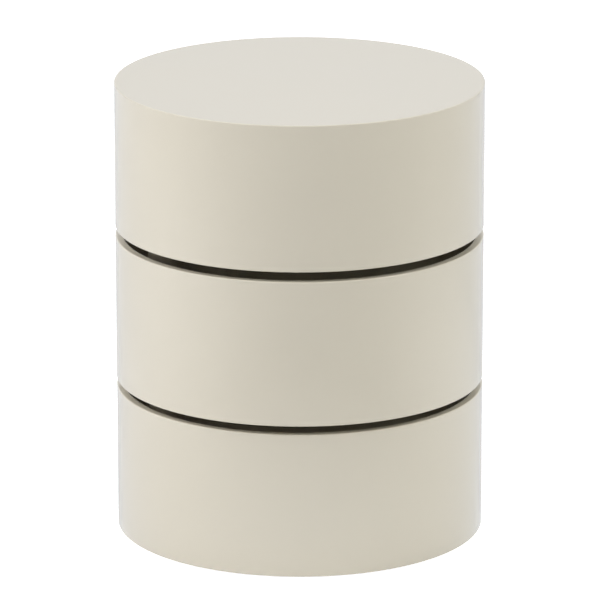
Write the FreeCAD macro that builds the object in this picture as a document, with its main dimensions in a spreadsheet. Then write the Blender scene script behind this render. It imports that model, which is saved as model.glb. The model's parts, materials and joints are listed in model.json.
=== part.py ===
"""Drum side table: three lacquered drums stacked on an eccentric pivot post.

The base drum stands on the floor. The middle and top drums swing sideways about one vertical post, which
opens the well of the drum below. The post is fixed to the top drum and turns in bushes in the two hubs.
Millimetres, +Z up, origin on the floor under the centre of the base drum, pivot on the -X side.
"""
import FreeCAD, Part
import os
import re
from math import cos, sin, tau

import Sketcher

Vector = FreeCAD.Vector

# Driving dimensions: alias, value, what it is.
SIZES = [
    ("drum_radius", 200, "outside of every drum"),
    ("wall_thickness", 9, "bent plywood of the drum walls"),
    ("tier_height", 159, "height of each drum wall"),
    ("tier_gap", 11, "open gap between two drum walls"),
    ("rim_round", 1.5, "rounding of the drum edges"),
    ("groove_depth", 3, "how far the panels are let into the walls"),
    ("floor_thickness", 15, "floor panels of the drums"),
    ("floor_recess", 3, "underside of the upper floors above the drum edge"),
    ("base_recess", 15, "underside of the base floor above the drum edge"),
    ("top_thickness", 18, "table top panel"),
    ("pivot_inset", 46, "pivot axis from the inside of the drum wall, on the -X side"),
    ("middle_swing", -2.4, "middle drum as it stands, degrees"),
    ("top_swing", -2.7, "top drum as it stands, degrees"),
    ("post_radius", 15, "outside of the pivot post"),
    ("post_wall", 3, "wall of the post tube"),
    ("post_chamfer", 1, "lead-in at the lower end of the post"),
    ("post_flange_thickness", 5, "plate welded to the post"),
    ("plug_length", 35, "threaded plug in the lower end of the post"),
    ("post_clearance", 0.05, "radial running clearance of post and bush"),
    ("bush_wall", 2.95, "wall of the bush sleeve"),
    ("bush_length", 30, "bush sleeve below its flange"),
    ("bush_flange", 3, "thickness of the bush flange"),
    ("bush_lip", 2, "bush flange beyond the hub tube"),
    ("hub_wall", 2, "wall of the hub tubes"),
    ("hub_drop", 2, "middle hub tube below the drum edge"),
    ("hub_flange_inset", 4, "plates of the hubs and of the post from the drum wall"),
    ("hub_flange_thickness", 4, "plates of the hubs"),
    ("weld_leg", 3, "fillet weld between hub tube and plate"),
    ("thrust_thickness", 1.5, "washer between the two hubs"),
    ("bore_clearance", 0.5, "washers on the post and on the bolt"),
    ("socket_clearance", 0.2, "tubes in the holes of the wooden parts"),
    ("end_play", 0.3, "axial play of the post"),
    ("washer_thickness", 3, "retaining washer under the post"),
    ("access_clearance", 3, "base floor hole beyond the retaining washer"),
    ("bolt_radius", 6, "retaining bolt"),
    ("bolt_length", 25, "retaining bolt under its head"),
    ("bolt_head_height", 8, "hexagon head"),
    ("bolt_head_flats", 18, "hexagon head across flats"),
    ("block_height", 40, "wooden block that carries the post in the top drum"),
    ("block_length", 120, "block towards the drum axis"),
    ("block_width", 80, "block across"),
    ("block_inset", 8, "back of the block from the drum wall"),
    ("screw_radius", 2.5, "countersunk wood screws"),
    ("screw_head_radius", 5.5, "their heads"),
    ("screw_tip", 2, "their pointed ends"),
    ("screw_clearance", 0.5, "screw holes in steel and nylon"),
    ("hub_screw_count", 6, "screws in each plate"),
    ("hub_screw_grip", 10, "hub screws in the wood"),
    ("flange_screw_grip", 35, "post plate screws in the wood"),
    ("glide_stand", 1, "lower edge of the base drum above the floor"),
    ("glide_count", 8, "nylon glides"),
    ("glide_radius", 11, "glides"),
    ("glide_inset", 7, "glides from the drum wall"),
    ("glide_head_depth", 5, "screw heads above the foot of the glides"),
    ("glide_screw_grip", 11, "glide screws in the wood"),
    ("ballast_inset", 6, "edge of the steel plate under the base floor from the glides"),
    ("ballast_thickness", 12, "steel plate"),
    ("ballast_hole_margin", 5, "plate cut back from the access hole"),
    ("ballast_screw_count", 4, "screws of the plate"),
    ("ballast_screw_inset", 55, "those screws from the edge of the plate"),
    ("ballast_screw_grip", 11, "ballast screws in the wood"),
]
ALIASES = [alias for alias, value, note in SIZES]

# Sizes that several pieces share, worked out from the driving dimensions.
inner_radius = "(drum_radius - wall_thickness)"
panel_radius = f"({inner_radius} + groove_depth)"
pivot_offset = f"({inner_radius} - pivot_inset)"
plate_radius = "(pivot_inset - hub_flange_inset)"
tier_pitch = "(tier_height + tier_gap)"
bush_radius = "(post_radius + post_clearance + bush_wall)"
hub_radius = f"({bush_radius} + hub_wall)"
bush_flange_radius = f"({hub_radius} + bush_lip)"
access_radius = f"({bush_flange_radius} + access_clearance)"
screw_hole_radius = "(screw_radius + screw_clearance)"
plate_screw_circle = f"(({hub_radius} + weld_leg + {plate_radius}) / 2)"
glide_circle = f"({inner_radius} - glide_inset - glide_radius)"
ballast_radius = f"({glide_circle} - glide_radius - ballast_inset)"
ballast_screw_circle = f"({ballast_radius} - ballast_screw_inset)"

# Heights above the lower edge of the piece's own drum.
base_floor_top = "(base_recess + floor_thickness)"
upper_floor_top = "(floor_recess + floor_thickness)"
middle_hub_top = f"({tier_pitch} + floor_recess - post_flange_thickness - bush_flange)"
middle_hub_bottom = "(-hub_drop)"
base_hub_top = f"({tier_pitch} - hub_drop - 2 * bush_flange - thrust_thickness)"
post_bottom = f"({base_floor_top} - bush_flange - end_play - 2 * {tier_pitch})"
post_plate_bottom = "(floor_recess - post_flange_thickness)"

# Each tier: height of its drum above the base drum, and the angle it stands at.
TIERS = {
    "base": ("0", "0"),
    "middle": (tier_pitch, "middle_swing"),
    "top": (f"2 * {tier_pitch}", "top_swing"),
}

document = FreeCAD.newDocument("DrumSideTable")
sheet = document.addObject("Spreadsheet::Sheet", "Sizes")
for row, (alias, value, note) in enumerate(SIZES, start=1):
    sheet.set(f"A{row}", alias)
    sheet.set(f"B{row}", str(value))
    sheet.set(f"C{row}", note)
    sheet.setAlias(f"B{row}", alias)
document.recompute()

sub_parts = []


def bind(target, name, formula):
    """Tie a property to a formula written with the sheet's aliases."""
    target.setExpression(name, re.sub(r"\b(" + "|".join(ALIASES) + r")\b", r"Sizes.\1", formula))


def origin_feature(body, role):
    return next(feature for feature in body.Origin.OriginFeatures if feature.Role == role)


def new_body(label, tier, half_step_of=None):
    """A sub-part in its tier's frame: origin on the pivot axis, at the drum's lower edge.

    With half_step_of, the count of a ring of small pieces of the base drum, the origin is on the drum's axis
    and the ring is turned by half a step.
    """
    body = document.addObject("PartDesign::Body", label)
    body.Label = label
    level, angle = TIERS[tier]
    if half_step_of:
        angle = f"180 / {half_step_of}"
    body.Placement = FreeCAD.Placement(Vector(), FreeCAD.Rotation(Vector(0, 0, 1), 1))
    bind(body, "Placement.Rotation.Angle", f"{angle} * 1 deg")
    bind(body, "Placement.Base.x", "0" if half_step_of else f"-{pivot_offset}")
    bind(body, "Placement.Base.z", f"glide_stand + {level}")
    sub_parts.append(body)
    return body


def new_sketch(body, name, role, shift=None, level=None):
    """A sketch on an origin plane, moved by shift along its first axis and by level along its normal."""
    sketch = body.newObject("Sketcher::SketchObject", name)
    sketch.AttachmentSupport = [(origin_feature(body, role), "")]
    sketch.MapMode = "FlatFace"
    if shift:
        bind(sketch, "AttachmentOffset.Base.x", shift)
    if level:
        bind(sketch, "AttachmentOffset.Base.z", level)
    return sketch


def constrain(sketch, kind, geometry, point, formula):
    index = sketch.addConstraint(Sketcher.Constraint(kind, geometry, point, 1.0))
    bind(sketch, f"Constraints[{index}]", formula)


def draw_outline(sketch, points):
    """A closed outline of straight lines through points given as pairs of formulas."""
    count = len(points)
    start = [Vector(cos(tau * i / count), sin(tau * i / count), 0) for i in range(count)]
    for i in range(count):
        sketch.addGeometry(Part.LineSegment(start[i], start[(i + 1) % count]), False)
    for i in range(count):
        sketch.addConstraint(Sketcher.Constraint("Coincident", i, 2, (i + 1) % count, 1))
    for i, (across, up) in enumerate(points):
        constrain(sketch, "DistanceX", i, 1, across)
        constrain(sketch, "DistanceY", i, 1, up)


def draw_circle(sketch, radius, across="0", up="0"):
    index = sketch.addGeometry(Part.Circle(Vector(1, 0, 0), Vector(0, 0, 1), 1), False)
    constrain(sketch, "DistanceX", index, 3, across)
    constrain(sketch, "DistanceY", index, 3, up)
    radius_index = sketch.addConstraint(Sketcher.Constraint("Radius", index, 1.0))
    bind(sketch, f"Constraints[{radius_index}]", radius)


def revolve(body, points, shift=None, kind="Revolution"):
    """Turn an outline of radii and heights about the body's vertical axis, or about one moved by shift."""
    sketch = new_sketch(body, f"{body.Name}_profile", "XZ_Plane", shift)
    draw_outline(sketch, points)
    turned = body.newObject(f"PartDesign::{kind}", f"{body.Name}_turned")
    turned.Profile = sketch
    turned.ReferenceAxis = (sketch, ["V_Axis"])
    turned.Angle = 360
    return turned


def pad(body, sketch, length):
    padded = body.newObject("PartDesign::Pad", f"{sketch.Name}_pad")
    padded.Profile = sketch
    bind(padded, "Length", length)
    return padded


def disc(body, radius, bottom, thickness, shift=None):
    sketch = new_sketch(body, f"{body.Name}_outline", "XY_Plane", shift, bottom)
    draw_circle(sketch, radius)
    return pad(body, sketch, thickness)


def draw_first_of_ring(sketch, radius, circle, half_step_of=None):
    """The first circle of a ring of them about the sketch's own origin, turned by half a step if asked."""
    angle = f"(180 deg / {half_step_of})" if half_step_of else "(0 deg)"
    draw_circle(sketch, radius, f"{circle} * cos{angle}", f"{circle} * sin{angle}")


def drill(body, name, radius, level, depth, from_below=False, centre=None):
    """A round hole about the body's vertical axis, or one moved by centre, from level into the piece."""
    sketch = new_sketch(body, f"{body.Name}_{name}", "XY_Plane", centre, level)
    draw_circle(sketch, radius)
    return pocket(body, sketch, depth, from_below)


def drill_ring(body, name, circle, count, level, depth, from_below=False, centre=None, is_half_step=False):
    """A ring of pilot holes for screws."""
    sketch = new_sketch(body, f"{body.Name}_{name}", "XY_Plane", centre, level)
    draw_first_of_ring(sketch, "screw_radius", circle, count if is_half_step else None)
    repeat(body, pocket(body, sketch, depth, from_below), count, (sketch, ["N_Axis"]))


def pocket(body, sketch, depth, from_below):
    cut = body.newObject("PartDesign::Pocket", f"{sketch.Name}_hole")
    cut.Profile = sketch
    cut.Reversed = from_below
    bind(cut, "Length", depth)
    return cut


def countersink_ring(body, circle, count, level, from_below=False, centre=None, is_half_step=False):
    """A ring of countersunk screw holes right through a plate, for heads that lie flush at level."""
    sketch = new_sketch(body, f"{body.Name}_screw", "XY_Plane", centre, level)
    draw_first_of_ring(sketch, screw_hole_radius, circle, count if is_half_step else None)
    document.recompute()
    hole = body.newObject("PartDesign::Hole", f"{body.Name}_screw_hole")
    hole.Profile = sketch
    document.recompute()
    hole.Reversed = from_below
    hole.ThreadType = "None"
    hole.DepthType = "ThroughAll"
    hole.HoleCutType = "Countersink"
    hole.HoleCutCountersinkAngle = 90
    bind(hole, "Diameter", f"2 * {screw_hole_radius}")
    bind(hole, "HoleCutDiameter", "2 * screw_head_radius")
    repeat(body, hole, count, (sketch, ["N_Axis"]))


def repeat(body, feature, count, axis=None):
    """Repeat a feature in a full circle about the body's vertical axis, or about another one."""
    pattern = body.newObject("PartDesign::PolarPattern", f"{feature.Name}_pattern")
    pattern.Originals = [feature]
    pattern.Axis = axis or (origin_feature(body, "Z_Axis"), [""])
    pattern.Angle = 360
    bind(pattern, "Occurrences", count)
    body.Tip = pattern


def round_rims(body, feature, radius, is_rim):
    """Round the full circles of a turned piece that is_rim picks by their radius and height."""
    document.recompute()
    rims = [
        f"Edge{index}"
        for index, edge in enumerate(feature.Shape.Edges, start=1)
        if isinstance(edge.Curve, Part.Circle) and is_rim(edge.Curve.Radius, edge.Curve.Center.z)
    ]
    fillet = body.newObject("PartDesign::Fillet", f"{body.Name}_rims")
    fillet.Base = (feature, rims)
    bind(fillet, "Radius", radius)
    body.Tip = fillet


def add_drum_wall(label, tier, floor_bottom, is_closed=False):
    """A drum wall with a groove for its floor and, on a closed drum, a rebate for its top panel."""
    body = new_body(label, tier)
    rim = [(inner_radius, "tier_height")]
    if is_closed:
        rim = [
            (panel_radius, "tier_height"),
            (panel_radius, "tier_height - top_thickness"),
            (inner_radius, "tier_height - top_thickness"),
        ]
    groove = [
        (inner_radius, f"{floor_bottom} + floor_thickness"),
        (panel_radius, f"{floor_bottom} + floor_thickness"),
        (panel_radius, floor_bottom),
        (inner_radius, floor_bottom),
    ]
    lower_edge = [(inner_radius, "0"), ("drum_radius", "0")]
    turned = revolve(body, lower_edge + [("drum_radius", "tier_height")] + rim + groove, pivot_offset)
    outer = sheet.drum_radius
    edges = (0, sheet.tier_height)

    def is_rim(radius, height):
        on_edge = any(abs(height - edge) < 0.01 for edge in edges)
        return on_edge and (abs(radius - outer) < 0.01 or height < 0.01 or not is_closed)

    round_rims(body, turned, "rim_round", is_rim)


def add_screws(label, tier, circle, count, head_level, length, pointing, is_half_step=False):
    """A ring of countersunk wood screws, heads at head_level; pointing is + for up or - for down."""
    body = new_body(label, tier, count if is_half_step else None)

    def height(formula):
        return f"{head_level} {pointing} ({formula})"

    outline = [
        ("0", height("0")),
        ("screw_head_radius", height("0")),
        ("screw_radius", height("screw_head_radius - screw_radius")),
        ("screw_radius", height(f"{length} - screw_tip")),
        ("0", height(length)),
    ]
    repeat(body, revolve(body, outline, circle), count)


def add_hub(label, tier, plate_bottom, tube_bottom, tube_top):
    """A steel tube welded to a round plate that is screwed down on the drum's floor."""
    body = new_body(label, tier)
    plate_top = f"{plate_bottom} + hub_flange_thickness"
    tube_below = []
    if tube_bottom != plate_bottom:
        tube_below = [(hub_radius, tube_bottom), (hub_radius, plate_bottom)]
    outline = [
        (bush_radius, tube_bottom),
        *tube_below,
        (plate_radius, plate_bottom),
        (plate_radius, plate_top),
        (f"{hub_radius} + weld_leg", plate_top),
        (hub_radius, f"{plate_top} + weld_leg"),
        (hub_radius, tube_top),
        (bush_radius, tube_top),
    ]
    revolve(body, outline)
    countersink_ring(body, plate_screw_circle, "hub_screw_count", plate_top)


def add_bush(label, tier, seat, inwards):
    """A flanged nylon bush pressed into the end of a hub tube at seat; inwards is + for up or - for down."""
    body = new_body(label, tier)
    outwards = "-" if inwards == "+" else "+"
    bore = "post_radius + post_clearance"
    flange_face = f"{seat} {outwards} bush_flange"
    sleeve_end = f"{seat} {inwards} bush_length"
    outline = [
        (bore, flange_face),
        (bush_flange_radius, flange_face),
        (bush_flange_radius, seat),
        (bush_radius, seat),
        (bush_radius, sleeve_end),
        (bore, sleeve_end),
    ]
    revolve(body, outline)


def add_washer(label, tier, bore, radius, bottom, thickness):
    body = new_body(label, tier)
    outline = [
        (bore, bottom),
        (radius, bottom),
        (radius, f"{bottom} + {thickness}"),
        (bore, f"{bottom} + {thickness}"),
    ]
    revolve(body, outline)


def add_base_floor():
    """The raised floor of the base drum, with the access hole under the post and the pilot holes."""
    body = new_body("base_floor", "base")
    disc(body, panel_radius, "base_recess", "floor_thickness", pivot_offset)
    drill(body, "access", access_radius, base_floor_top, "floor_thickness")
    drill_ring(body, "hub_pilot", plate_screw_circle, "hub_screw_count", base_floor_top, "hub_screw_grip")
    drill_ring(body, "glide_pilot", glide_circle, "glide_count", "base_recess", "glide_screw_grip",
               from_below=True, centre=pivot_offset, is_half_step=True)
    drill_ring(body, "ballast_pilot", ballast_screw_circle, "ballast_screw_count", "base_recess",
               "ballast_screw_grip", from_below=True, centre=pivot_offset, is_half_step=True)


def add_middle_floor():
    body = new_body("middle_floor", "middle")
    disc(body, panel_radius, "floor_recess", "floor_thickness", pivot_offset)
    drill(body, "hub", f"{hub_radius} + socket_clearance", upper_floor_top, "floor_thickness")
    drill_ring(body, "hub_pilot", plate_screw_circle, "hub_screw_count", upper_floor_top, "hub_screw_grip")


def add_top_underside_panel():
    body = new_body("top_underside_panel", "top")
    disc(body, panel_radius, "floor_recess", "floor_thickness", pivot_offset)
    drill(body, "post", "post_radius + socket_clearance", upper_floor_top, "floor_thickness")
    drill_ring(body, "pilot", plate_screw_circle, "hub_screw_count", upper_floor_top, "floor_thickness")


def add_top_panel():
    body = new_body("top_panel", "top")
    disc(body, panel_radius, "tier_height - top_thickness", "top_thickness", pivot_offset)


def add_pivot_block():
    """The wooden block glued on the underside panel, which holds the post upright."""
    body = new_body("pivot_block", "top")
    sketch = new_sketch(body, "pivot_block_outline", "XY_Plane", None, upper_floor_top)
    back = "(block_inset - pivot_inset)"
    front = f"{back} + block_length"
    side = "block_width / 2"
    draw_outline(sketch, [(back, f"-{side}"), (front, f"-{side}"), (front, side), (back, side)])
    pad(body, sketch, "block_height")
    drill(body, "post", "post_radius + socket_clearance", f"{upper_floor_top} + block_height", "block_height")
    drill_ring(body, "pilot", plate_screw_circle, "hub_screw_count", upper_floor_top,
               "flange_screw_grip - floor_thickness", from_below=True)


def add_pivot_post():
    """The steel tube with its welded plate, turned flat where the plate runs on the bush."""
    body = new_body("pivot_post", "top")
    post_bore = "post_radius - post_wall"
    post_top = f"{upper_floor_top} + block_height"
    outline = [
        (post_bore, post_bottom),
        ("post_radius - post_chamfer", post_bottom),
        ("post_radius", f"{post_bottom} + post_chamfer"),
        ("post_radius", post_plate_bottom),
        (plate_radius, post_plate_bottom),
        (plate_radius, "floor_recess"),
        ("post_radius", "floor_recess"),
        ("post_radius", post_top),
        (post_bore, post_top),
    ]
    revolve(body, outline)
    countersink_ring(body, plate_screw_circle, "hub_screw_count", post_plate_bottom, from_below=True)


def add_post_plug():
    add_washer("post_plug", "top", "bolt_radius", "post_radius - post_wall", post_bottom, "plug_length")


def add_retaining_bolt():
    """The hexagon bolt that holds the post down from under the base floor."""
    body = new_body("retaining_bolt", "top")
    head_top = f"{post_bottom} - washer_thickness"
    corner = "bolt_head_flats / (2 * cos(30 deg))"
    head = new_sketch(body, "retaining_bolt_head", "XY_Plane", None, f"{head_top} - bolt_head_height")
    draw_outline(head, [(f"{corner} * cos({60 * i} deg)", f"{corner} * sin({60 * i} deg)") for i in range(6)])
    pad(body, head, "bolt_head_height")
    shank = new_sketch(body, "retaining_bolt_shank", "XY_Plane", None, head_top)
    draw_circle(shank, "bolt_radius")
    pad(body, shank, "bolt_length")


def add_floor_glides():
    """Nylon glides under the base floor, each with a stepped hole for its screw."""
    body = new_body("floor_glides", "base", half_step_of="glide_count")
    foot = "-glide_stand"
    neck = f"{foot} + glide_head_depth"
    outline = [
        ("screw_head_radius + screw_clearance", foot),
        ("glide_radius", foot),
        ("glide_radius", "base_recess"),
        (screw_hole_radius, "base_recess"),
        (screw_hole_radius, f"{neck} + screw_head_radius - {screw_hole_radius}"),
        ("screw_head_radius", neck),
        ("screw_head_radius + screw_clearance", neck),
    ]
    repeat(body, revolve(body, outline, glide_circle), "glide_count")


def add_ballast_plate():
    """The steel plate that keeps the table upright with the drums swung out."""
    body = new_body("ballast_plate", "base")
    bottom = "base_recess - ballast_thickness"
    disc(body, ballast_radius, bottom, "ballast_thickness", pivot_offset)
    drill(body, "access", f"{access_radius} + ballast_hole_margin", "base_recess", "ballast_thickness")
    countersink_ring(body, ballast_screw_circle, "ballast_screw_count", bottom,
                     from_below=True, centre=pivot_offset, is_half_step=True)


add_drum_wall("base_drum_wall", "base", "base_recess")
add_drum_wall("middle_drum_wall", "middle", "floor_recess")
add_drum_wall("top_drum_wall", "top", "floor_recess", is_closed=True)
add_base_floor()
add_middle_floor()
add_top_underside_panel()
add_top_panel()

add_hub("base_hub", "base", base_floor_top, base_floor_top, base_hub_top)
add_hub("middle_hub", "middle", upper_floor_top, middle_hub_bottom, middle_hub_top)
add_bush("base_lower_bush", "base", base_floor_top, "+")
add_bush("base_upper_bush", "base", base_hub_top, "-")
add_bush("middle_lower_bush", "middle", middle_hub_bottom, "+")
add_bush("middle_upper_bush", "middle", middle_hub_top, "-")
add_washer("thrust_washer", "base", "post_radius + bore_clearance", bush_flange_radius,
           f"{base_hub_top} + bush_flange", "thrust_thickness")

add_pivot_block()
add_pivot_post()
add_post_plug()
add_washer("retaining_washer", "top", "bolt_radius + bore_clearance", bush_flange_radius,
           f"{post_bottom} - washer_thickness", "washer_thickness")
add_retaining_bolt()

add_floor_glides()
add_ballast_plate()

for tier, floor_top in (("base", base_floor_top), ("middle", upper_floor_top)):
    add_screws(f"{tier}_hub_screws", tier, plate_screw_circle, "hub_screw_count",
               f"{floor_top} + hub_flange_thickness", "(hub_flange_thickness + hub_screw_grip)", "-")
add_screws("flange_screws", "top", plate_screw_circle, "hub_screw_count",
           post_plate_bottom, "(post_flange_thickness + flange_screw_grip)", "+")
add_screws("glide_screws", "base", glide_circle, "glide_count",
           "-glide_stand + glide_head_depth",
           "(base_recess + glide_stand - glide_head_depth + glide_screw_grip)", "+", is_half_step=True)
add_screws("ballast_screws", "base", ballast_screw_circle, "ballast_screw_count",
           "base_recess - ballast_thickness",
           "(ballast_thickness + ballast_screw_grip)", "+", is_half_step=True)

document.recompute()
for item in document.Objects:
    if {"Invalid", "Error"} & set(item.State):
        raise RuntimeError(f"{item.Label} did not recompute: {item.State}")
for body in sub_parts:
    if body.Shape.isNull() or not body.Shape.isValid():
        raise RuntimeError(f"{body.Label} has no valid shape")

os.makedirs("parts", exist_ok=True)
for body in sub_parts:
    body.Shape.exportStep(f"parts/{body.Label}.step")
    print(f"{body.Label}: {len(body.Shape.Solids)} solid(s), {body.Shape.Volume / 1000:.2f} cm3")
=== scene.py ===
import json
import math

import bmesh
import bpy
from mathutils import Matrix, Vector


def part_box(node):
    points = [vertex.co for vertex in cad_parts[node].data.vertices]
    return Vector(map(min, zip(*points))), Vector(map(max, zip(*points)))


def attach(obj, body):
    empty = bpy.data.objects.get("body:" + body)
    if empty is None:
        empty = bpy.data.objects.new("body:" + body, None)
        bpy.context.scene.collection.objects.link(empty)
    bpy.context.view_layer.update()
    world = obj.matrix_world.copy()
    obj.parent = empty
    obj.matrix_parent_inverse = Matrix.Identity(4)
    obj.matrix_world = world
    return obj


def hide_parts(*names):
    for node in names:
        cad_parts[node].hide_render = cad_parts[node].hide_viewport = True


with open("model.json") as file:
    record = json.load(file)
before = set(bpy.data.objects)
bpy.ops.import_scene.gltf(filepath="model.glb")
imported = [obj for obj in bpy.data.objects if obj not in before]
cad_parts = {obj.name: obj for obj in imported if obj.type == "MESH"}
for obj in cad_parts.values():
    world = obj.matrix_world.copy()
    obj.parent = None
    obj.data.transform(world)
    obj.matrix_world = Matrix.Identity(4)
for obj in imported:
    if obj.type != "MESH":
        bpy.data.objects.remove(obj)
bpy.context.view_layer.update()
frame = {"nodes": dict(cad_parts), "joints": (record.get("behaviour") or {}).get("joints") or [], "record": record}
nodes = frame["nodes"]
scene = bpy.context.scene
mm = 0.001
print("frame loaded:", len(nodes), "nodes")

pivot = frame["joints"][0]["pos_m"][:2]  # the axis of both joints, as (x, y)
drums = {
    "baseDrum": {"wall": "base_drum_wall", "floor": "base_floor"},
    "middleDrum": {"wall": "middle_drum_wall", "floor": "middle_floor"},
    "topDrum": {"wall": "top_drum_wall", "floor": "top_underside_panel"},
}
for drum in drums.values():
    low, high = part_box(drum["wall"])
    drum["middle"] = (low.x + high.x) / 2, (low.y + high.y) / 2
    drum["radius"] = (high.x - low.x) / 2
    drum["bottom"], drum["top"] = low.z, high.z
    drum["floorBottom"], drum["floorTop"] = (corner.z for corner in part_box(drum["floor"]))
    # how far the drum is turned on the pivot
    drum["turn"] = math.atan2(drum["middle"][1] - pivot[1], drum["middle"][0] - pivot[0])
baseMiddle = drums["baseDrum"]["middle"]


def pickNothing():
    if bpy.context.object and bpy.context.object.mode != "OBJECT":
        bpy.ops.object.mode_set(mode="OBJECT")
    bpy.ops.object.select_all(action="DESELECT")


def pickPiece(piece):
    pickNothing()
    piece.select_set(True)
    bpy.context.view_layer.objects.active = piece


def pickPoints(isWanted):
    # in edit mode, only the points at wanted places
    bpy.ops.mesh.select_mode(type="VERT")
    bpy.ops.mesh.select_all(action="DESELECT")
    sheet = bmesh.from_edit_mesh(bpy.context.object.data)
    for point in sheet.verts:
        point.select_set(isWanted(point.co))
    sheet.select_flush_mode()
    bmesh.update_edit_mesh(bpy.context.object.data)


def near(place):
    target = Vector(place)
    return lambda spot: (spot - target).length < 0.01 * mm


def nameIt(name):
    piece = bpy.context.object
    piece.name = piece.data.name = name
    return piece


def drawOutline(name, axis, outline, isClosed):
    # drawn point by point beside the axis: (radius, height) or (radius, height, rounding)
    pickNothing()
    bpy.ops.mesh.primitive_plane_add(size=mm)
    piece = nameIt(name)
    bpy.ops.object.mode_set(mode="EDIT")
    bpy.ops.mesh.select_mode(type="VERT")
    bpy.ops.mesh.select_all(action="SELECT")
    bpy.ops.mesh.merge(type="CENTER")
    places = [Vector((axis[0] + corner[0], axis[1], corner[1])) for corner in outline]
    bpy.ops.transform.translate(value=places[0])
    for last, place in zip(places, places[1:]):
        bpy.ops.mesh.extrude_region_move(TRANSFORM_OT_translate={"value": place - last})
    if isClosed:
        pickPoints(lambda spot: near(places[0])(spot) or near(places[-1])(spot))
        bpy.ops.mesh.edge_face_add()
    for corner, place in zip(outline, places):
        if len(corner) == 3:
            rounding = corner[2]
            pickPoints(near(place))
            bpy.ops.mesh.bevel(offset=rounding, offset_type="OFFSET", segments=6 if rounding > mm else 3,
                               affect="VERTICES")
    return piece


def turn(name, axis, outline, isClosed=True, steps=96):
    # the outline spun into a whole round piece, its seam and poles closed
    piece = drawOutline(name, axis, outline, isClosed)
    bpy.ops.mesh.select_all(action="SELECT")
    bpy.ops.mesh.spin(steps=steps, angle=math.tau, center=(*axis[:2], 0), axis=(0, 0, 1))
    bpy.ops.mesh.select_all(action="SELECT")
    bpy.ops.mesh.remove_doubles(threshold=0.002 * mm)
    bpy.ops.mesh.normals_make_consistent(inside=False)
    bpy.ops.object.mode_set(mode="OBJECT")
    return piece


def smoothOver(piece, angle=32):
    # flat faces stay flat next to their rounded edges
    pickPiece(piece)
    bpy.ops.object.shade_smooth_by_angle(angle=math.radians(angle))
    bpy.ops.object.modifier_add(type="WEIGHTED_NORMAL")
    weighted = piece.modifiers[-1]
    weighted.keep_sharp = True
    weighted.weight = 90
    bpy.ops.object.modifier_apply(modifier=weighted.name)


def combine(piece, tool, operation="DIFFERENCE"):
    pickPiece(piece)
    bpy.ops.object.modifier_add(type="BOOLEAN")
    cut = piece.modifiers[-1]
    cut.operation = operation
    cut.solver = "EXACT"
    cut.object = tool
    bpy.ops.object.modifier_apply(modifier=cut.name)
    bpy.data.objects.remove(tool)


def spreadRound(piece, axis, count):
    # the piece copied round the axis, within its own mesh
    pickPiece(piece)
    bpy.ops.object.mode_set(mode="EDIT")
    bpy.ops.mesh.select_all(action="SELECT")
    bpy.ops.mesh.spin(steps=count - 1, dupli=True, angle=math.tau * (count - 1) / count,
                      center=(*axis, 0), axis=(0, 0, 1))
    bpy.ops.object.mode_set(mode="OBJECT")


def moveTo(piece, place, isUpsideDown=False):
    pickPiece(piece)
    bpy.ops.object.mode_set(mode="EDIT")
    bpy.ops.mesh.select_all(action="SELECT")
    if isUpsideDown:
        bpy.ops.transform.rotate(value=math.pi, orient_axis="X", center_override=(0, 0, 0))
    bpy.ops.transform.translate(value=place)
    bpy.ops.object.mode_set(mode="OBJECT")


def onRing(axis, radius, angle, height):
    return axis[0] + radius * math.cos(angle), axis[1] + radius * math.sin(angle), height


def finishPiece(piece, body, slotName, *replaced):
    piece.data.materials.clear()
    piece.data.materials.append(finishes[slotName])
    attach(piece, body)
    if replaced:
        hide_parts(*replaced)


def newFinish(name, settings):
    material = bpy.data.materials.new(name)
    material.use_nodes = True
    tree = material.node_tree
    shader = tree.nodes["Principled BSDF"]
    for socket, value in settings.items():
        shader.inputs[socket].default_value = value
    where = tree.nodes.new("ShaderNodeTexCoord")
    return material, tree, shader, where.outputs["Object"]


def addNoise(tree, where, scale, detail, roughness=0.5, stretch=(1, 1, 1)):
    place = tree.nodes.new("ShaderNodeMapping")
    place.vector_type = "TEXTURE"
    place.inputs["Scale"].default_value = stretch
    noise = tree.nodes.new("ShaderNodeTexNoise")
    noise.inputs["Scale"].default_value = scale
    noise.inputs["Detail"].default_value = detail
    noise.inputs["Roughness"].default_value = roughness
    tree.links.new(where, place.inputs["Vector"])
    tree.links.new(place.outputs["Vector"], noise.inputs["Vector"])
    return noise.outputs["Fac"]


def addRange(tree, source, low, high, fromLow=0.3, fromHigh=0.7):
    spread = tree.nodes.new("ShaderNodeMapRange")
    spread.inputs["From Min"].default_value = fromLow
    spread.inputs["From Max"].default_value = fromHigh
    spread.inputs["To Min"].default_value = low
    spread.inputs["To Max"].default_value = high
    tree.links.new(source, spread.inputs["Value"])
    return spread.outputs["Result"]


def addTint(tree, source, tones, stops=(0.3, 0.7)):
    ramp = tree.nodes.new("ShaderNodeValToRGB")
    for element, tone, stop in zip(ramp.color_ramp.elements, tones, stops):
        element.position = stop
        element.color = (*tone, 1)
    tree.links.new(source, ramp.inputs["Fac"])
    return ramp.outputs["Color"]


def addBump(tree, shader, source, depth, strength):
    bump = tree.nodes.new("ShaderNodeBump")
    bump.inputs["Distance"].default_value = depth
    bump.inputs["Strength"].default_value = strength
    tree.links.new(source, bump.inputs["Height"])
    tree.links.new(bump.outputs["Normal"], shader.inputs["Normal"])


def addSkin(tree, shader, where, look):
    # cloud tints the finish, sheen makes it more and less rough, and grain stands up as its bump;
    # each is a noise's scale, detail and, where given, roughness
    cloud = addNoise(tree, where, *look["cloud"])
    sheen = addNoise(tree, where, *look["sheen"])
    grain = addNoise(tree, where, *look["grain"])
    tree.links.new(addTint(tree, cloud, look["tones"]), shader.inputs["Base Color"])
    tree.links.new(addRange(tree, sheen, *look["rough"]), shader.inputs["Roughness"])
    addBump(tree, shader, grain, look["depth"], look["strength"])


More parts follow.
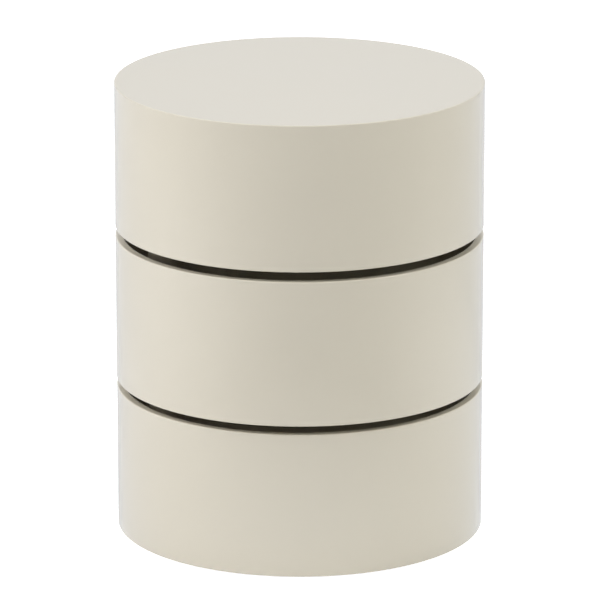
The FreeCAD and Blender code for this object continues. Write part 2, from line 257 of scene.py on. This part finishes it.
def makeLacquer():
    # sprayed gloss lacquer on sanded plywood: even colour, a trace of orange peel
    look = {"tones": ((0.620, 0.574, 0.460), (0.630, 0.584, 0.469)), "cloud": (9, 2.0),
            "rough": (0.31, 0.37), "sheen": (9, 2.0),
            "depth": 0.01 * mm, "strength": 0.2, "grain": (210, 1.0)}
    material, tree, shader, where = newFinish("glossLacquer", {
        "IOR": 1.5, "Coat Weight": 1.0, "Coat Roughness": 0.1})
    addSkin(tree, shader, where, look)
    return material


def makePaintedSteel():
    # satin paint, a little heavier than the lacquer
    look = {"tones": ((0.550, 0.501, 0.396), (0.589, 0.539, 0.429)), "cloud": (30, 3.0),
            "rough": (0.36, 0.5), "sheen": (220, 2.0),
            "depth": 0.05 * mm, "strength": 0.5, "grain": (900, 3.0)}
    material, tree, shader, where = newFinish("satinPaint", {"IOR": 1.5})
    addSkin(tree, shader, where, look)
    return material


def makePrimer():
    # matt black, a little uneven
    look = {"tones": ((0.022, 0.022, 0.024), (0.038, 0.037, 0.037)), "cloud": (55, 5.0, 0.6),
            "rough": (0.5, 0.68), "sheen": (160, 3.0),
            "depth": 0.08 * mm, "strength": 0.5, "grain": (700, 4.0)}
    material, tree, shader, where = newFinish("mattPrimer", {"IOR": 1.5})
    addSkin(tree, shader, where, look)
    return material


def makeZinc():
    # bright zinc plate, faintly clouded, and duller where it is lighter
    look = {"tones": ((0.56, 0.57, 0.59), (0.68, 0.68, 0.66)), "cloud": (140, 4.0, 0.6),
            "rough": (0.22, 0.38), "sheen": (140, 4.0, 0.6),
            "depth": 0.01 * mm, "strength": 0.4, "grain": (1400, 2.0)}
    material, tree, shader, where = newFinish("zincPlate", {"Metallic": 1.0, "IOR": 2.5})
    addSkin(tree, shader, where, look)
    return material


def makeNylon():
    # undyed, and light goes a little way in
    look = {"tones": ((0.66, 0.64, 0.57), (0.70, 0.68, 0.62)), "cloud": (70, 2.0),
            "rough": (0.38, 0.52), "sheen": (400, 2.0),
            "depth": 0.02 * mm, "strength": 0.5, "grain": (1100, 2.0)}
    material, tree, shader, where = newFinish("naturalNylon", {
        "IOR": 1.53, "Subsurface Weight": 0.15, "Subsurface Scale": 2 * mm})
    addSkin(tree, shader, where, look)
    return material


def makeTurnedSteel():
    # fine tool marks run round the post and its plate, under a thin film of oil
    look = {"tones": ((0.50, 0.49, 0.47), (0.61, 0.60, 0.585)), "rough": (0.26, 0.40), "film": (60, 4.0),
            "depth": 0.01 * mm, "strength": 0.4, "marks": 900, "waver": 0.6, "markDetail": 2}
    material, tree, shader, where = newFinish("turnedSteel", {"Metallic": 1.0, "IOR": 2.5})
    place = tree.nodes.new("ShaderNodeMapping")
    place.vector_type = "TEXTURE"
    place.inputs["Location"].default_value = (*pivot, 0)
    tree.links.new(where, place.inputs["Vector"])
    both = tree.nodes.new("ShaderNodeMath")
    both.operation = "MULTIPLY"
    for kind, socket in zip(("BANDS", "RINGS"), both.inputs):
        wave = tree.nodes.new("ShaderNodeTexWave")
        wave.wave_type = kind
        wave.bands_direction = wave.rings_direction = "Z"
        wave.inputs["Scale"].default_value = look["marks"]
        wave.inputs["Distortion"].default_value = look["waver"]
        wave.inputs["Detail"].default_value = look["markDetail"]
        tree.links.new(place.outputs["Vector"], wave.inputs["Vector"])
        tree.links.new(wave.outputs["Fac"], socket)
    film = addNoise(tree, where, *look["film"])
    tree.links.new(addTint(tree, film, look["tones"]), shader.inputs["Base Color"])
    tree.links.new(addRange(tree, film, *look["rough"]), shader.inputs["Roughness"])
    addBump(tree, shader, both.outputs["Value"], look["depth"], look["strength"])
    return material


def makePlywood():
    # plies one above the other, with a light grain along the block
    look = {"ply": 2.6 * mm, "plyTones": ((0.50, 0.34, 0.19), (0.66, 0.49, 0.31)), "plyStops": (0.42, 0.58),
            "waver": 0.4, "fibreTones": ((0.86, 0.84, 0.80), (1, 1, 1)), "rough": (0.55, 0.75),
            "depth": 0.1 * mm, "strength": 0.4, "grain": (300, 5.0, 0.6, (8, 1, 1))}
    material, tree, shader, where = newFinish("barePlywood", {"IOR": 1.45})
    wave = tree.nodes.new("ShaderNodeTexWave")
    wave.bands_direction = "Z"
    # a wave of scale 1 is math.pi / 10 long, and here it covers a dark and a light ply
    wave.inputs["Scale"].default_value = math.pi / 20 / look["ply"]
    wave.inputs["Distortion"].default_value = look["waver"]
    tree.links.new(where, wave.inputs["Vector"])
    grain = addNoise(tree, where, *look["grain"])
    blend = tree.nodes.new("ShaderNodeMix")
    blend.data_type = "RGBA"
    blend.blend_type = "MULTIPLY"
    blend.inputs["Factor"].default_value = 1
    plies = addTint(tree, wave.outputs["Fac"], look["plyTones"], look["plyStops"])
    tree.links.new(plies, blend.inputs["A"])
    tree.links.new(addTint(tree, grain, look["fibreTones"]), blend.inputs["B"])
    tree.links.new(blend.outputs["Result"], shader.inputs["Base Color"])
    tree.links.new(addRange(tree, grain, *look["rough"]), shader.inputs["Roughness"])
    addBump(tree, shader, grain, look["depth"], look["strength"])
    return material


finishes = {
    "lacquer": makeLacquer(), "painted_steel": makePaintedSteel(), "primed_steel": makePrimer(),
    "steel": makeTurnedSteel(), "zinc": makeZinc(), "nylon": makeNylon(), "plywood": makePlywood(),
}
for part in frame["record"]["subparts"]:
    mesh = nodes[part["node"]].data
    mesh.materials.clear()
    mesh.materials.append(finishes[part["material_slot"]])
print("finishes made:", len(finishes))


drumWall = {"thickness": 9 * mm, "groove": 3 * mm, "rim": 1.5 * mm, "foot": 0.5 * mm, "topPanel": 18 * mm,
            "steps": 288}


def makeDrum(name, drum, isTopped=False):
    # a ring with a groove for its floor; the topped one runs over the table top in one skin
    outside, bottom, top = drum["radius"], drum["bottom"], drum["top"]
    inside = outside - drumWall["thickness"]
    seat = inside + drumWall["groove"]
    rim, foot = drumWall["rim"], drumWall["foot"]
    lower = [(outside, bottom, foot), (inside, bottom, foot)]
    groove = [(inside, drum["floorBottom"]), (seat, drum["floorBottom"]),
              (seat, drum["floorTop"]), (inside, drum["floorTop"])]
    if isTopped:
        ceiling = top - drumWall["topPanel"]
        outline = [(0, top), (outside, top, rim), *lower, *groove, (inside, ceiling), (0, ceiling)]
    else:
        outline = [(outside, top, rim), *lower, *groove, (inside, top, rim)]
    piece = turn(name, drum["middle"], outline, isClosed=not isTopped, steps=drumWall["steps"])
    smoothOver(piece)
    return piece


for tier in ("base", "middle"):
    wall = makeDrum(f"{tier}DrumWall", drums[f"{tier}Drum"])
    finishPiece(wall, f"{tier}_drum", "lacquer", f"{tier}_drum_wall")
shell = makeDrum("topDrumShell", drums["topDrum"], isTopped=True)
finishPiece(shell, "top_drum", "lacquer", "top_drum_wall", "top_panel")
print("drums made")


hub = {"tube": 20 * mm, "bore": 18 * mm, "plate": 4 * mm, "edge": 0.8 * mm, "lip": 0.4 * mm}
weld = {"bead": 1.6 * mm, "outside": 0.4, "ripples": 56, "rippleDepth": 0.22 * mm}
screwRing = {"radius": 32.5 * mm, "count": 6}
screw = {"head": 5.5 * mm, "edge": 0.15 * mm, "shank": 2.5 * mm, "tip": 2 * mm, "sink": 5.8 * mm,
         "hole": 3 * mm, "slotLength": 5.6 * mm, "slotWidth": 1.2 * mm, "slotDepth": 2.9 * mm,
         "slotTaper": 0.35}


def sinkHoles(piece, axis, ring, firstAngle, level, depth, isFromBelow=False):
    # countersunk screw holes through a plate, a little wider than the heads
    up = -1 if isFromBelow else 1
    outside = level + up * mm
    coneEnd = level - up * (screw["sink"] - screw["hole"])
    beyond = level - up * (depth + mm)
    spot = onRing(axis, ring["radius"], firstAngle, 0)
    cutter = turn("holes", spot, [
        (0, outside), (screw["sink"], outside), (screw["sink"], level), (screw["hole"], coneEnd),
        (screw["hole"], beyond), (0, beyond)], isClosed=False, steps=36)
    spreadRound(cutter, axis, ring["count"])
    combine(piece, cutter)


def layWeld(piece, height):
    # the weld bead round the tube, laid on in ripples, a share of it outside
    pickNothing()
    bpy.ops.mesh.primitive_torus_add(location=(*pivot, height), major_segments=2 * weld["ripples"],
                                     major_radius=hub["tube"] + weld["outside"] * weld["bead"],
                                     minor_segments=12, minor_radius=weld["bead"])
    nameIt(piece.name + "Weld")
    bpy.ops.object.transform_apply()
    bpy.ops.object.mode_set(mode="EDIT")
    step = math.tau / (2 * weld["ripples"])
    pickPoints(lambda spot: round(math.atan2(spot.y - pivot[1], spot.x - pivot[0]) / step) % 2 == 0)
    bpy.ops.transform.shrink_fatten(value=-weld["rippleDepth"])
    bpy.ops.object.mode_set(mode="OBJECT")
    bpy.ops.object.shade_smooth()
    piece.select_set(True)
    bpy.context.view_layer.objects.active = piece
    bpy.ops.object.join()


def makeHub(name, node, drum):
    # a tube welded to its plate; where it goes on through the floor, it starts lower
    low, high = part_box(node)
    plateBottom = drum["floorTop"]
    plateTop = plateBottom + hub["plate"]
    plateRadius = (high.x - low.x) / 2
    isOnFloor = low.z > plateBottom - mm
    below = [] if isOnFloor else [(hub["tube"], low.z, hub["lip"]), (hub["tube"], plateBottom)]
    piece = turn(name, pivot, [
        (hub["bore"], low.z), *below,
        (plateRadius, plateBottom, hub["edge"]), (plateRadius, plateTop, hub["edge"]),
        (hub["tube"], plateTop), (hub["tube"], high.z, hub["lip"]), (hub["bore"], high.z)])
    sinkHoles(piece, pivot, screwRing, drum["turn"], plateTop, hub["plate"])
    smoothOver(piece)
    layWeld(piece, plateTop)
    return piece


def makeBush(name, node):
    # a sleeve with its flange at the end that faces out of the hub
    bush = {"sleeve": 18 * mm, "bore": 15.05 * mm, "flange": 3 * mm, "mouth": 0.4 * mm, "rim": 0.5 * mm,
            "underRim": 0.3 * mm, "leadIn": 0.5 * mm, "boreEnd": 0.3 * mm}
    low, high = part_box(node)
    rim = (high.x - low.x) / 2
    isFlangeUp = node.endswith("upper_bush")
    face, end = (high.z, low.z) if isFlangeUp else (low.z, high.z)
    seat = face - bush["flange"] if isFlangeUp else face + bush["flange"]
    piece = turn(name, pivot, [
        (bush["bore"], face, bush["mouth"]), (rim, face, bush["rim"]), (rim, seat, bush["underRim"]),
        (bush["sleeve"], seat), (bush["sleeve"], end, bush["leadIn"]),
        (bush["bore"], end, bush["boreEnd"])], steps=72)
    smoothOver(piece)
    return piece


washer = {"thrustBore": 15.5 * mm, "boltBore": 6.5 * mm, "mouth": 0.2 * mm, "rim": 0.3 * mm}


def makeWasher(name, node, bore):
    low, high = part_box(node)
    rim = (high.x - low.x) / 2
    piece = turn(name, pivot, [
        (bore, low.z, washer["mouth"]), (rim, low.z, washer["rim"]), (rim, high.z, washer["rim"]),
        (bore, high.z, washer["mouth"])], steps=72)
    smoothOver(piece)
    return piece


def makePost():
    # the turned post with its plate, screwed up under the top drum
    post = {"radius": 15 * mm, "bore": 12 * mm, "chamfer": 1 * mm, "plate": 5 * mm, "lowerEdge": 0.6 * mm,
            "upperEdge": 0.3 * mm}
    low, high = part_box("pivot_post")
    plateRadius = (high.x - low.x) / 2
    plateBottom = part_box("flange_screws")[0].z
    plateTop = plateBottom + post["plate"]
    piece = turn("pivotPost", pivot, [
        (post["bore"], low.z), (post["radius"] - post["chamfer"], low.z),
        (post["radius"], low.z + post["chamfer"]), (post["radius"], plateBottom),
        (plateRadius, plateBottom, post["lowerEdge"]), (plateRadius, plateTop, post["upperEdge"]),
        (post["radius"], plateTop), (post["radius"], high.z), (post["bore"], high.z)])
    sinkHoles(piece, pivot, screwRing, drums["topDrum"]["turn"], plateBottom, post["plate"],
              isFromBelow=True)
    smoothOver(piece)
    return piece


for tier in ("base", "middle"):
    steelHub = makeHub(f"{tier}Hub", f"{tier}_hub", drums[f"{tier}Drum"])
    finishPiece(steelHub, f"{tier}_drum", "painted_steel", f"{tier}_hub")
for tier in ("base", "middle"):
    for end in ("lower", "upper"):
        node = f"{tier}_{end}_bush"
        finishPiece(makeBush(f"{tier}{end.capitalize()}Bush", node), f"{tier}_drum", "nylon", node)
thrustWasher = makeWasher("thrustWasher", "thrust_washer", washer["thrustBore"])
finishPiece(thrustWasher, "base_drum", "steel", "thrust_washer")
finishPiece(makePost(), "top_drum", "steel", "pivot_post")
print("pivot made")


def makeScrew(name, length):
    # one countersunk screw with a cross slot, its head up at the origin
    piece = turn(name, (0, 0), [
        (0, 0), (screw["head"], 0, screw["edge"]), (screw["shank"], screw["shank"] - screw["head"]),
        (screw["shank"], screw["tip"] - length), (0, -length)], isClosed=False, steps=32)
    for long, wide in (("slotLength", "slotWidth"), ("slotWidth", "slotLength")):
        pickNothing()
        bpy.ops.mesh.primitive_cube_add(size=1, location=(0, 0, 0))
        bpy.context.object.scale = (screw[long], screw[wide], 2 * screw["slotDepth"])
        bpy.ops.object.transform_apply()
        wing = nameIt("crossWing")
        # the wings draw in towards the bottom of the slot
        bpy.ops.object.mode_set(mode="EDIT")
        pickPoints(lambda spot: spot.z < 0)
        bpy.ops.transform.resize(value=(screw["slotTaper"], screw["slotTaper"], 1),
                                 center_override=(0, 0, -screw["slotDepth"]))
        bpy.ops.object.mode_set(mode="OBJECT")
        combine(piece, wing)
    smoothOver(piece)
    return piece


def makeScrews(name, node, body, axis, ring, firstAngle, isUpsideDown=False):
    # a ring of screws, their heads at the top of the node or at its bottom
    low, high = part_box(node)
    piece = makeScrew(name, high.z - low.z)
    level = low.z if isUpsideDown else high.z
    moveTo(piece, onRing(axis, ring["radius"], firstAngle, level), isUpsideDown)
    spreadRound(piece, axis, ring["count"])
    finishPiece(piece, body, "zinc", node)


def makeBolt():
    # a hexagon bolt, its corners turned off, standing on its head
    bolt = {"flats": 18 * mm, "head": 8 * mm, "shank": 6 * mm, "chamfer": 1.2 * mm, "shoulder": 0.2 * mm,
            "clear": 0.1 * mm, "tip": 0.8 * mm, "smooth": 25}
    low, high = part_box("retaining_bolt")
    top = low.z + bolt["head"]
    halfSide = math.radians(30)
    corner = bolt["flats"] / 2 / math.cos(halfSide)
    pickNothing()
    bpy.ops.mesh.primitive_cylinder_add(vertices=6, radius=corner, depth=bolt["head"],
                                        location=(*pivot, low.z + bolt["head"] / 2))
    piece = nameIt("retainingBolt")
    bpy.ops.object.transform_apply()
    # a corner of the head points along the drum, as the post is turned
    bpy.ops.object.mode_set(mode="EDIT")
    bpy.ops.mesh.select_all(action="SELECT")
    bpy.ops.transform.rotate(value=-halfSide - drums["topDrum"]["turn"], orient_axis="Z",
                             center_override=(*pivot, 0))
    bpy.ops.object.mode_set(mode="OBJECT")
    drop = bolt["chamfer"] * math.tan(halfSide)
    outside = corner + bolt["clear"]
    headRound = turn("headRound", pivot, [
        (0, low.z), (corner - bolt["chamfer"], low.z), (outside, low.z + drop),
        (outside, top - bolt["shoulder"]), (corner - bolt["shoulder"], top), (0, top)],
        isClosed=False, steps=72)
    combine(piece, headRound, "INTERSECT")
    shank = turn("boltShank", pivot, [
        (0, top - mm), (bolt["shank"], top - mm), (bolt["shank"], high.z, bolt["tip"]), (0, high.z)],
        isClosed=False, steps=48)
    combine(piece, shank, "UNION")
    smoothOver(piece, bolt["smooth"])
    return piece


glideRing = {"radius": 173 * mm, "count": 8, "angle": math.tau / 16}
ballastRing = {"radius": 101 * mm, "count": 4, "angle": math.tau / 8}


def makeGlides():
    # nylon feet, each with a sunk screw
    glide = {"radius": 11 * mm, "mouth": 6 * mm, "ledge": 5 * mm, "hole": 3 * mm, "footEdge": 1.2 * mm,
             "mouthEdge": 0.3 * mm, "topEdge": 0.4 * mm}
    low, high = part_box("floor_glides")
    ledge = low.z + glide["ledge"]
    spot = onRing(baseMiddle, glideRing["radius"], glideRing["angle"], 0)
    piece = turn("floorGlides", spot, [
        (glide["mouth"], low.z, glide["mouthEdge"]), (glide["radius"], low.z, glide["footEdge"]),
        (glide["radius"], high.z, glide["topEdge"]), (glide["hole"], high.z),
        (glide["hole"], ledge + screw["head"] - glide["hole"]), (screw["head"], ledge),
        (glide["mouth"], ledge)], steps=48)
    spreadRound(piece, baseMiddle, glideRing["count"])
    smoothOver(piece)
    return piece


def makeBallast():
    # a round steel plate with its edges broken, cut out round the pivot
    ballast = {"edge": 1.2 * mm, "opening": 30 * mm}
    low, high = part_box("ballast_plate")
    radius = (high.y - low.y) / 2
    opening = ballast["opening"]
    mouth = opening + ballast["edge"]
    piece = turn("ballastPlate", baseMiddle, [
        (0, low.z), (radius, low.z, ballast["edge"]), (radius, high.z, ballast["edge"]), (0, high.z)],
        isClosed=False, steps=144)
    cutter = turn("opening", pivot, [
        (0, low.z - mm), (mouth, low.z - mm), (mouth, low.z), (opening, low.z + ballast["edge"]),
        (opening, high.z + mm), (0, high.z + mm)], isClosed=False, steps=72)
    combine(piece, cutter)
    sinkHoles(piece, baseMiddle, ballastRing, ballastRing["angle"], low.z, high.z - low.z, isFromBelow=True)
    smoothOver(piece)
    return piece


for tier in ("base", "middle"):
    makeScrews(f"{tier}HubScrews", f"{tier}_hub_screws", f"{tier}_drum", pivot, screwRing,
               drums[f"{tier}Drum"]["turn"])
makeScrews("flangeScrews", "flange_screws", "top_drum", pivot, screwRing, drums["topDrum"]["turn"],
           isUpsideDown=True)
makeScrews("glideScrews", "glide_screws", "base_drum", baseMiddle, glideRing, glideRing["angle"],
           isUpsideDown=True)
makeScrews("ballastScrews", "ballast_screws", "base_drum", baseMiddle, ballastRing, ballastRing["angle"],
           isUpsideDown=True)
finishPiece(makeBolt(), "top_drum", "zinc", "retaining_bolt")
boltWasher = makeWasher("retainingWasher", "retaining_washer", washer["boltBore"])
finishPiece(boltWasher, "top_drum", "zinc", "retaining_washer")
finishPiece(makeGlides(), "base_drum", "nylon", "floor_glides")
finishPiece(makeBallast(), "base_drum", "primed_steel", "ballast_plate")
print("fastenings, glides and ballast made")


def feed(tree, socket, value):
    # a link from another node, or a plain number
    if isinstance(value, bpy.types.NodeSocket):
        tree.links.new(value, socket)
    else:
        socket.default_value = value


def addRayLevel(tree, level, rayLevels):
    # how bright a surround is as light, and as seen by each kind of ray named
    rays = tree.nodes.new("ShaderNodeLightPath")
    for ray, rayLevel in rayLevels:
        pick = tree.nodes.new("ShaderNodeMix")
        pick.data_type = "FLOAT"
        tree.links.new(rays.outputs[ray], pick.inputs["Factor"])
        feed(tree, pick.inputs["A"], level)
        feed(tree, pick.inputs["B"], rayLevel)
        level = pick.outputs["Result"]
    return level


def addPaintedPool(tree, where, pool, level):
    # a round patch of painted light or painted shade on the floor, brighter or dimmer than the level so far
    distance = tree.nodes.new("ShaderNodeVectorMath")
    distance.operation = "DISTANCE"
    distance.inputs[1].default_value = (*pool["middle"], 0)
    tree.links.new(where, distance.inputs[0])
    patch = tree.nodes.new("ShaderNodeMapRange")
    patch.interpolation_type = "SMOOTHSTEP"
    patch.inputs["From Max"].default_value = pool["reach"]
    patch.inputs["To Min"].default_value = pool["level"]
    patch.inputs["To Max"].default_value = 0
    tree.links.new(distance.outputs["Value"], patch.inputs["Value"])
    total = tree.nodes.new("ShaderNodeMath")
    total.operation = "ADD"
    tree.links.new(patch.outputs["Result"], total.inputs[0])
    feed(tree, total.inputs[1], level)
    return total.outputs["Value"]


# the floor's colour and its even glow where it is seen; the level and bluish colour that glossy rays see are a
# painted reflection
stage = {"size": 60, "colour": (0.92, 0.92, 0.91, 1), "seen": 0.6, "paintedReflection": 0.84,
         "mirroredColour": (0.93, 0.955, 1.0, 1)}
# painted light and shade on the floor, seen only in the gloss: patches of painted light at the left, right and
# front, and painted shade round the table's foot
paintedPools = [{"middle": (-1.08, -0.4), "reach": 1.15, "level": 0.5},
         {"middle": (0.9, -0.15), "reach": 0.85, "level": 0.5},
         {"middle": (0.03, -0.36), "reach": 0.65, "level": 0.85},
         {"middle": (0, 0), "reach": 0.37, "level": -0.6}]


def makeFloorFinish():
    # pale and matt, so that it keeps the table's shadow; the lacquer mirrors it as a painted reflection, with
    # painted patches of light and a painted shade close round the table
    material = bpy.data.materials.new("paleFloor")
    material.use_nodes = True
    tree = material.node_tree
    tree.nodes.remove(tree.nodes["Principled BSDF"])
    matt = tree.nodes.new("ShaderNodeBsdfDiffuse")
    matt.inputs["Color"].default_value = stage["colour"]
    glow = tree.nodes.new("ShaderNodeEmission")
    seenBy = [("Is Camera Ray", stage["seen"]), ("Is Transmission Ray", stage["seen"])]
    feed(tree, glow.inputs["Strength"], addRayLevel(tree, 0, seenBy))
    lit = tree.nodes.new("ShaderNodeAddShader")
    tree.links.new(matt.outputs["BSDF"], lit.inputs[0])
    tree.links.new(glow.outputs["Emission"], lit.inputs[1])
    where = tree.nodes.new("ShaderNodeTexCoord").outputs["Object"]
    # painted reflection: the floor as glossy rays see it, with its painted patches of light and shade
    level = stage["paintedReflection"]
    for pool in paintedPools:
        level = addPaintedPool(tree, where, pool, level)
    paintedReflection = tree.nodes.new("ShaderNodeEmission")
    paintedReflection.inputs["Color"].default_value = stage["mirroredColour"]
    feed(tree, paintedReflection.inputs["Strength"], level)
    # glossy rays see the painted reflection in place of the lit floor
    either = tree.nodes.new("ShaderNodeMixShader")
    tree.links.new(tree.nodes.new("ShaderNodeLightPath").outputs["Is Glossy Ray"], either.inputs["Fac"])
    tree.links.new(lit.outputs["Shader"], either.inputs[1])
    tree.links.new(paintedReflection.outputs["Emission"], either.inputs[2])
    tree.links.new(either.outputs["Shader"], tree.nodes["Material Output"].inputs["Surface"])
    return material


def makeStage():
    pickNothing()
    bpy.ops.mesh.primitive_plane_add(size=stage["size"])
    floor = nameIt("paleFloor")
    floor.data.materials.append(makeFloorFinish())


def makeRoom():
    # white where it is seen; its light comes from the walls, and the lacquer mirrors a painted reflection,
    # brighter than that light and brightest at the ceiling;
    # a pair of levels runs between its two heights, of which 0 is level and 1 straight up
    room = {"light": (0.182, 0), "lightHeights": (0, 1),
            "paintedReflection": (0.89, 1.5), "mirroredHeights": (0.3, 0.6), "seen": 1.0}
    world = bpy.data.worlds.new("softRoom")
    scene.world = world
    world.use_nodes = True
    tree = world.node_tree
    direction = tree.nodes.new("ShaderNodeSeparateXYZ")
    tree.links.new(tree.nodes.new("ShaderNodeTexCoord").outputs["Generated"], direction.inputs["Vector"])
    light = addRange(tree, direction.outputs["Z"], *room["light"], *room["lightHeights"])
    # painted reflection: how bright glossy rays see the room, apart from its light
    paintedReflection = addRange(tree, direction.outputs["Z"], *room["paintedReflection"], *room["mirroredHeights"])
    level = addRayLevel(tree, light, [("Is Glossy Ray", paintedReflection), ("Is Camera Ray", room["seen"]),
                                      ("Is Transmission Ray", room["seen"])])
    background = tree.nodes["Background"]
    background.inputs["Color"].default_value = (1, 1, 1, 1)
    feed(tree, background.inputs["Strength"], level)


lamps = [{"name": "leftBox", "place": (-2.91, -1.06, 2.5), "size": (3.2, 3.2), "power": 130, "blue": 1.05},
         {"name": "rightBox", "place": (2.99, -0.8, 2.6), "size": (3.0, 3.0), "power": 107.3},
         {"name": "frontBox", "place": (-1.0, -2.8, 1.33), "size": (1.8, 1.8), "power": 9.5},
         {"name": "backBox", "place": (-0.5, 5.0, 0.85), "size": (3.0, 1.6), "power": 72.7}]


def addLamp(name, place, size, power, blue=1):
    # a soft box turned to the middle of the table, and hidden from the eye and the gloss
    target = Vector((0, 0, 0.25))
    pickNothing()
    bpy.ops.object.light_add(type="AREA", location=place)
    lamp = bpy.context.object
    lamp.name = name
    lamp.data.shape = "RECTANGLE"
    lamp.data.size, lamp.data.size_y = size
    lamp.data.energy = power
    lamp.data.color = (1, 1, blue)
    lamp.rotation_euler = (target - Vector(place)).to_track_quat("-Z", "Y").to_euler()
    lamp.visible_camera = lamp.visible_glossy = False


def addCamera():
    view = {"lens": 335.2, "film": 36, "place": (0.0003, -5.855, 1.946), "pitch": 16.144}
    pickNothing()
    bpy.ops.object.camera_add(location=view["place"], rotation=(math.radians(90 - view["pitch"]), 0, 0))
    camera = bpy.context.object
    camera.data.lens = view["lens"]
    camera.data.sensor_width = view["film"]
    scene.camera = camera


makeStage()
makeRoom()
for lamp in lamps:
    addLamp(**lamp)
addCamera()
scene.view_settings.view_transform = "Standard"
print("stage, lamps and camera set")
